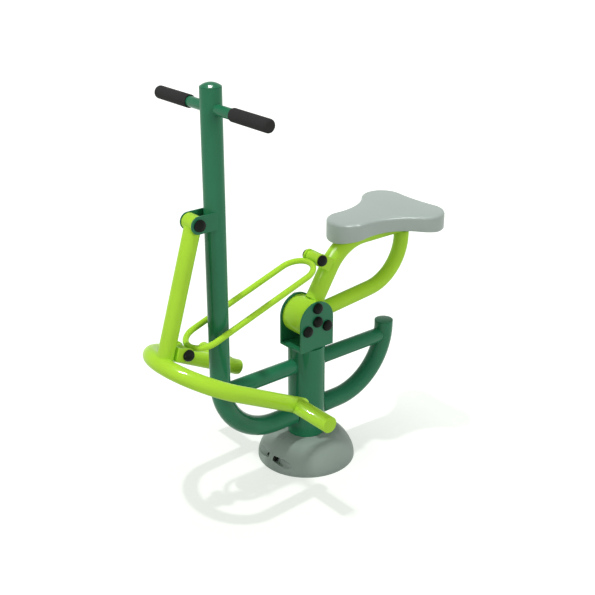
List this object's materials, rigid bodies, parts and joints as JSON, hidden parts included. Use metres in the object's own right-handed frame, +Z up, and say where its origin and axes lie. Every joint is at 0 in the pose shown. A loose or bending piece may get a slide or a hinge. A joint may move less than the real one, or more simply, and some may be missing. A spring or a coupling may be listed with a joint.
{
  "type": "outdoor gym rider",
  "caption": "Outdoor exercise rider: a bent tube frame on a post, a seat lever and a front arm with foot rests, joined by a looped link so that both swing together",
  "frame": {"origin": "on the post's axis at the ground, in the middle of the base flange's underside", "axes": "+X points forward, from the saddle to the handlebar; +Y points to the rider's left; +Z points up"},
  "size_m": [0.9995, 0.625, 1.231],
  "materials": {
    "frame_green": "dark green gloss powder coat",
    "lever_green": "light green gloss powder coat",
    "moulded_grey": "satin",
    "cover_grey": "satin",
    "grip_black": "matt",
    "cap_black": "semi-gloss",
    "bare_steel": "zinc plated",
    "buffer_rubber": "matt"
  },
  "bodies": {
    "frame": {"base_flange": "bare_steel", "anchor_bolt_1": "bare_steel", "anchor_bolt_2": "bare_steel", "anchor_bolt_3": "bare_steel", "anchor_bolt_4": "bare_steel", "post": "frame_green", "base_cover_left": "cover_grey", "base_cover_right": "cover_grey", "column": "frame_green", "column_cap": "frame_green", "rear_riser": "frame_green", "riser_cap": "frame_green", "stretcher_front": "frame_green", "stretcher_rear": "frame_green", "handlebar": "frame_green", "grip_left": "grip_black", "grip_right": "grip_black", "front_clevis_left": "frame_green", "front_clevis_right": "frame_green", "front_pivot_bolt": "bare_steel", "front_pivot_cap_left": "cap_black", "front_pivot_cap_right": "cap_black", "axle_plate_left": "frame_green", "axle_plate_right": "frame_green", "axle_plate_base": "frame_green", "main_axle": "bare_steel", "main_axle_cap_left": "cap_black", "main_axle_cap_right": "cap_black", "stop_bolt_1": "bare_steel", "stop_bolt_2": "bare_steel", "stop_bolt_3": "bare_steel", "stop_buffer_1": "buffer_rubber", "stop_buffer_2": "buffer_rubber", "stop_buffer_3": "buffer_rubber", "stop_1_cap_left": "cap_black", "stop_1_cap_right": "cap_black", "stop_2_cap_left": "cap_black", "stop_2_cap_right": "cap_black", "stop_3_cap_left": "cap_black", "stop_3_cap_right": "cap_black"},
    "seat_lever": {"hub": "lever_green", "bearing_left": "bare_steel", "bearing_right": "bare_steel", "lever_front_tube": "lever_green", "lever_rear_tube": "lever_green", "saddle_plate": "lever_green", "saddle": "moulded_grey", "rear_link_pin": "bare_steel", "rear_link_cap_left": "cap_black", "rear_link_cap_right": "cap_black"},
    "link": {"link_bar": "lever_green", "link_bush_front": "lever_green", "link_bush_rear": "lever_green"},
    "front_arm": {"arm_hub": "lever_green", "arm_tube": "lever_green", "foot_bar": "lever_green", "lower_link_pin": "bare_steel", "lower_link_cap_left": "cap_black", "lower_link_cap_right": "cap_black"}
  },
  "joints": [
    {"name": "seat_lever_swing", "type": "hinge", "parent": "frame", "child": "seat_lever", "pos_m": [0, 0, 0.476], "axis": [0, 1, 0], "range_deg": [0, 25]},
    {"name": "front_arm_swing", "type": "hinge", "parent": "frame", "child": "front_arm", "pos_m": [0.394, 0, 0.863], "axis": [0, 1, 0], "range_deg": [-14.1, 0.1]},
    {"name": "link_swing", "type": "hinge", "parent": "seat_lever", "child": "link", "pos_m": [-0.031, 0, 0.659], "axis": [0, 1, 0], "range_deg": [-27.9, 0.1]}
  ],
  "couplings": [
    {"joint": "front_arm_swing", "follows": "seat_lever_swing", "ratio": -0.5614},
    {"joint": "link_swing", "follows": "seat_lever_swing", "ratio": -1.1113}
  ]
}
